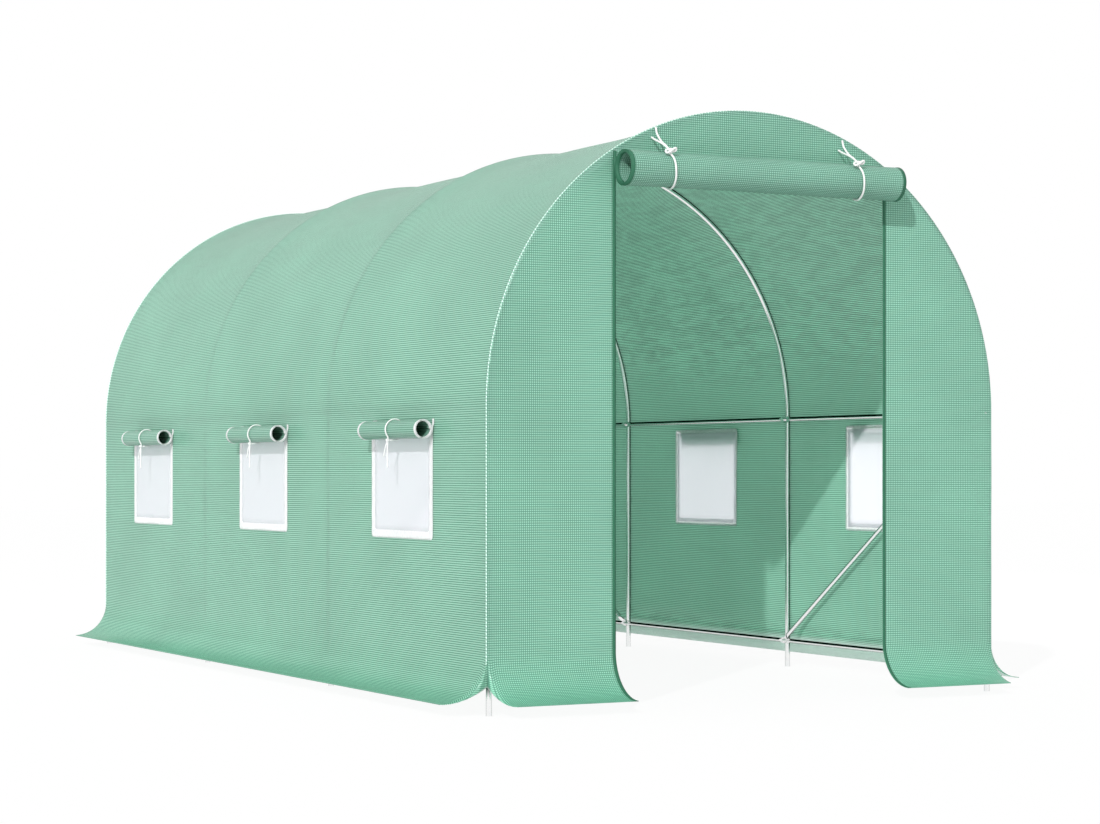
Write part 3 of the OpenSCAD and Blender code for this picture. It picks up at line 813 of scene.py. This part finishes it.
piping_r = 0.0039
piping_sunk = 0.0010
piping_back = 0.0055
ring_turn = np.linspace(0.0, 2.0 * np.pi, 11)[:-1]
piping_section = piping_r * np.stack([np.cos(ring_turn), np.sin(ring_turn)], axis=-1)
leg_rise = np.linspace(skirt_top - corner_seam_l + 0.004, spring, 24)[:-1]
arch_turn = np.linspace(math.pi, 0.0, 120)
seam_x = np.concatenate([np.full(len(leg_rise), -1.0), np.cos(arch_turn),
                         np.full(len(leg_rise), 1.0)])
seam_up = np.concatenate([np.zeros(len(leg_rise)), np.sin(arch_turn), np.zeros(len(leg_rise))])
seam_z = np.concatenate([leg_rise, np.full(len(arch_turn), spring), leg_rise[::-1]])
outward = np.stack([seam_x, np.zeros(len(seam_x)), seam_up], axis=-1)
frontward = np.tile([0.0, -1.0, 0.0], (len(seam_x), 1))
seam_r = sheet_r - piping_sunk
runs = []
for face in (front_y, rear_y):
    behind_edge = np.full(len(seam_x), face - piping_back * np.sign(face))
    centre = np.stack([seam_x * seam_r, behind_edge, seam_z + seam_up * seam_r], axis=-1)
    runs.append((centre, outward, frontward, piping_section))
piping = carried("corner_piping", runs)
# Painted highlight: the pale thread colour brightens the corner seam.
stitches = stitch_finish("overlock_painted_highlight", (0.68, 0.86, 0.78, 1.0), (0.27, 0.50, 0.40, 1.0), 0.012)
piping.data.materials.append(stitches)
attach(piping, "root")


# Ties
# Soft white braided cord. A window tie is sewn on above its window, goes round the roll and is
# knotted low on its front; a thicker door tie is sewn to the gable's edge, goes round the roll and
# is tied in a bow high on its front.
window_tie_d = 0.0050
door_tie_d = 0.0070


def smooth_run(marks, count):
    """Evenly spaced points on the smooth curve through the marks: a cubic between each two, whose
    slope at a mark is that from the mark before to the mark after."""
    marks = np.asarray(marks, dtype=float)
    at = np.concatenate([[0.0], np.cumsum(np.linalg.norm(np.diff(marks, axis=0), axis=1))])
    slope = np.gradient(marks, at, axis=0)
    fine = np.linspace(0.0, at[-1], 40 * len(marks))
    k = np.clip(np.searchsorted(at, fine, side="right") - 1, 0, len(at) - 2)
    span = (at[k + 1] - at[k])[:, None]
    t = ((fine - at[k]) / span[:, 0])[:, None]
    curve = ((2 * t ** 3 - 3 * t ** 2 + 1) * marks[k] + (t ** 3 - 2 * t ** 2 + t) * span * slope[k]
             + (3 * t ** 2 - 2 * t ** 3) * marks[k + 1] + (t ** 3 - t ** 2) * span * slope[k + 1])
    gone = np.concatenate([[0.0], np.cumsum(np.linalg.norm(np.diff(curve, axis=0), axis=1))])
    even = np.linspace(0.0, gone[-1], count)
    return np.stack([np.interp(even, gone, curve[:, i]) for i in range(3)], axis=-1), gone[-1]


def cord_frames(centre, hint, closed=False):
    """Side and up along a cord: the hint turned square to the run, and the third direction."""
    if closed:
        run = np.roll(centre, -1, axis=0) - np.roll(centre, 1, axis=0)
    else:
        run = np.gradient(centre, axis=0)
    run = run / np.linalg.norm(run, axis=1, keepdims=True)
    across = hint - (run @ hint)[:, None] * run
    across = across / np.linalg.norm(across, axis=1, keepdims=True)
    return across, np.cross(run, across)


def braid_finish():
    """White braided cord: two crossing sets of slanted strands, from the length along the cord and
    the length round it."""
    material, tree, skin = new_finish("white_braid")
    flat, _ = weave_map(tree)
    strands = []
    for lean in (math.radians(40.0), math.radians(-40.0)):
        turned = shade(tree, "ShaderNodeMapping", {"Vector": flat, "Rotation": (0.0, 0.0, lean)})
        strands.append(shade(tree, "ShaderNodeTexWave", {"Vector": turned.outputs[0],
                                                         "Scale": 130.0},
                             bands_direction="X").outputs["Fac"])
    over = maths(tree, "MULTIPLY", *strands)
    tint = blended(tree, over, (0.74, 0.75, 0.74, 1.0), (0.93, 0.93, 0.92, 1.0))
    fill(tree, skin, {"Base Color": tint, "Normal": bumped(tree, over, 0.5, 0.0005),
                      "Roughness": 0.7})
    return material


white_braid = braid_finish()


def tie_piece(name, runs, diameter, hint, closed=False):
    """Round cords of one diameter along the given runs."""
    section = diameter / 2.0 * np.stack([np.cos(ring_turn), np.sin(ring_turn)], axis=-1)
    frames = [(run,) + cord_frames(run, np.asarray(hint), closed) + (section,) for run in runs]
    piece = carried(name, frames, closed)
    piece.data.materials.append(white_braid)
    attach(piece, "root")
    return piece


def knot_run(place, size):
    """A trefoil: places (sin t + 2 sin 2t, cos t - 2 cos 2t, -sin 3t), scaled to the size."""
    t = np.linspace(0.0, 2.0 * np.pi, 49)[:-1]
    curve = np.stack([np.sin(t) + 2.0 * np.sin(2.0 * t), -0.9 * np.sin(3.0 * t),
                      np.cos(t) - 2.0 * np.cos(2.0 * t)], axis=-1)
    return np.asarray(place) + size / 3.0 * curve


window_loop_r = window_r + 0.0015
for side, name in sides:
    axis_x, axis_z = window_axis[name]
    for number, y in enumerate(window_y):
        def placed(marks):
            """Roll section (towards the wall, along, up) to the place on this wall."""
            marks = np.asarray(marks, dtype=float)
            return np.stack([axis_x - side * marks[:, 0], y + window_tie_y + marks[:, 1],
                             axis_z + marks[:, 2]], axis=-1)

        over = np.radians(np.linspace(40.0, 218.0, 13))
        front_marks = np.stack([window_loop_r * np.cos(over), 0.0 * over,
                                window_loop_r * np.sin(over)], axis=-1)
        tail = [(-0.0258, 0.000, -0.0290), (-0.0255, 0.001, -0.041), (-0.0265, 0.002, -0.056),
                (-0.0270, 0.002, -0.078), (-0.0260, 0.004, -0.102), (-0.0265, 0.003, -0.130)]
        run, length = smooth_run(placed(np.concatenate([front_marks, tail])), 40)
        knot = tie_piece("%s_tie_knot_%d" % (name, number + 1),
                         [knot_run(placed([(-0.0270, 0.001, -0.0370)])[0], 0.0050)],
                         window_tie_d, (1.0, 0.3, 0.2), True)
        cord = tie_piece("%s_tie_%d" % (name, number + 1), [run], window_tie_d, (0.0, 1.0, 0.0))
        if number == 0:
            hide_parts(name + "_window_ties")
        under = np.radians(np.linspace(348.0, 266.0, 7))
        back_marks = np.stack([window_loop_r * np.cos(under), 0.004 + 0.0 * under,
                               window_loop_r * np.sin(under)], axis=-1)
        tail = [(-0.0120, 0.005, -0.0362), (-0.0210, 0.008, -0.0400), (-0.0258, 0.013, -0.0490),
                (-0.0268, 0.019, -0.0610), (-0.0264, 0.026, -0.0760), (-0.0262, 0.033, -0.0910)]
        run, length = smooth_run(placed(np.concatenate([back_marks, tail])), 30)
        cord = tie_piece("%s_tie_end_%d" % (name, number + 1), [run], window_tie_d, (0.0, 1.0, 0.0))

door_loop_r = door_r + 0.0025
for number, x in enumerate(door_tie_x):
    def placed(marks):
        """Roll section (towards the gable, towards the left, up) to the place over the door."""
        marks = np.asarray(marks, dtype=float)
        return np.stack([x - marks[:, 1], door_axis_y + marks[:, 0], door_axis_z + marks[:, 2]], -1)

    sewn = [(door_r + door_stand - 0.0038, 0.011, 0.147), (0.059, 0.0115, 0.130),
            (0.040, 0.013, 0.109), (0.012, 0.016, 0.089), (-0.018, 0.018, 0.0735)]
    down = np.radians(np.linspace(128.0, 340.0, 20))
    slant = 0.012 * np.exp((down[0] - down) / 0.5) - 0.022 * np.clip((down - 3.3) / 2.4, 0.0, 1.0)
    loop_marks = np.stack([door_loop_r * np.cos(down), 0.006 + slant, door_loop_r * np.sin(down)],
                          axis=-1)
    run, length = smooth_run(placed(np.concatenate([sewn, loop_marks])), 40)
    bow_t = np.linspace(0.0, 2.0 * np.pi, 61)[:-1]
    bow_place = placed([(-0.0480, 0.019, 0.0570)])[0]
    bow = bow_place + np.stack([0.018 * np.sin(bow_t),
                                -0.005 * np.cos(bow_t) - 0.003 * np.sin(bow_t),
                                0.0050 * np.sin(2.0 * bow_t) + 0.004 * np.sin(bow_t)], axis=-1)
    knot = tie_piece("door_bow_%d" % (number + 1), [bow, knot_run(bow_place, 0.0070)], door_tie_d,
                     (0.2, 0.9, 0.35), True)
    cord = tie_piece("door_tie_%d" % (number + 1), [run], door_tie_d, (1.0, 0.0, 0.0))
    if number == 0:
        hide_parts("door_ties")
    tail = [(-0.040, 0.022, 0.062), (-0.026, 0.026, 0.073), (-0.006, 0.028, 0.084),
            (0.018, 0.028, 0.093), (0.042, 0.028, 0.102),
            (door_r + door_stand - 0.0045, 0.028, 0.112)]
    run, length = smooth_run(placed(tail), 20)
    cord = tie_piece("door_tie_end_%d" % (number + 1), [run], door_tie_d, (1.0, 0.0, 0.0))


# Nuts
# Every joint of a rail or brace is held by one bolt through the tube. Its zinc plated nut and
# washer sit on the innermost tab, inside the tunnel.
def nut_shapes(places, inward):
    """Rings of a washer, a six-sided nut and a domed bolt end round an axis through each place."""
    washer_r = 0.0080
    nut_r = 0.0058
    bolt_r = 0.0030
    tip_r = 0.0001
    radius = np.array([tip_r, washer_r, washer_r, nut_r, nut_r, 0.0050, bolt_r, bolt_r, 0.0018,
                       tip_r])
    height = np.array([0.0, 0.0, 0.0012, 0.0012, 0.0056, 0.0062, 0.0062, 0.0082, 0.0092, 0.0093])
    sides = np.linspace(0.0, 2.0 * np.pi, 13)[:-1]
    flat = 1.0 / np.cos((sides + np.pi / 6.0) % (np.pi / 3.0) - np.pi / 6.0)
    hexed = np.isin(np.arange(len(radius)), (3, 4))
    reach = radius[:, None] * np.where(hexed[:, None], flat, 1.0)
    first = np.where(np.abs(inward[:, 2:]) > 0.9, [[0.0, 1.0, 0.0]], [[0.0, 0.0, 1.0]])
    second = np.cross(inward, first)
    return (places[:, None, None] + height[None, :, None, None] * inward[:, None, None]
            + (reach * np.cos(sides))[None, ..., None] * first[:, None, None]
            + (reach * np.sin(sides))[None, ..., None] * second[:, None, None])


leg_low, leg_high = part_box("right_legs")
leg_in = leg_low[0]
layer = 0.0023
tab_face = 0.0023
mid_low, mid_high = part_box("left_mid_rails")
mid_z = (mid_low[2] + mid_high[2]) / 2.0
ground_low, ground_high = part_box("left_ground_rails")
ground_z = (ground_low[2] + ground_high[2]) / 2.0
back_low, back_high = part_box("rear_ground_rail")
back_z = (back_low[2] + back_high[2]) / 2.0
leg_x = (leg_low[0] + leg_high[0]) / 2.0
ridge_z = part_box("front_arch")[1][2] - (leg_high[0] - leg_low[0])
joints, facing = [], []
for side in (-1.0, 1.0):
    for number, y in enumerate(hoop_y):
        for z, tabs in ((mid_z, (2, 1, 1, 2)), (ground_z, (0, 2, 2, 1))):
            joints.append((side * (leg_in - tab_face - layer * tabs[number]), y, z))
            facing.append((-side, 0.0, 0.0))
    joints.append((side * leg_x, (back_low[1] + back_high[1]) / 2.0 - 0.001, back_z))
    facing.append((0.0, -1.0, 0.0))
for number, y in enumerate(hoop_y):
    joints.append((0.0, y, ridge_z - tab_face - layer * (0, 1, 1, 1)[number]))
    facing.append((0.0, 0.0, -1.0))
rings = nut_shapes(np.array(joints), np.array(facing))
count, levels, around = rings.shape[:3]
index = np.arange(count * levels * around).reshape(count, levels, around)
turned = np.roll(index, -1, axis=2)
quads = np.stack([index[:, :-1], turned[:, :-1], turned[:, 1:], index[:, 1:]],
                 axis=-1).reshape(-1, 4)
nut_mesh = bpy.data.meshes.new("frame_nuts")
nut_mesh.from_pydata(rings.reshape(-1, 3).tolist(), [], quads.tolist())
nuts = bpy.data.objects.new("frame_nuts", nut_mesh)
scene.collection.objects.link(nuts)
nuts.data.materials.append(bright_zinc)
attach(nuts, "root")
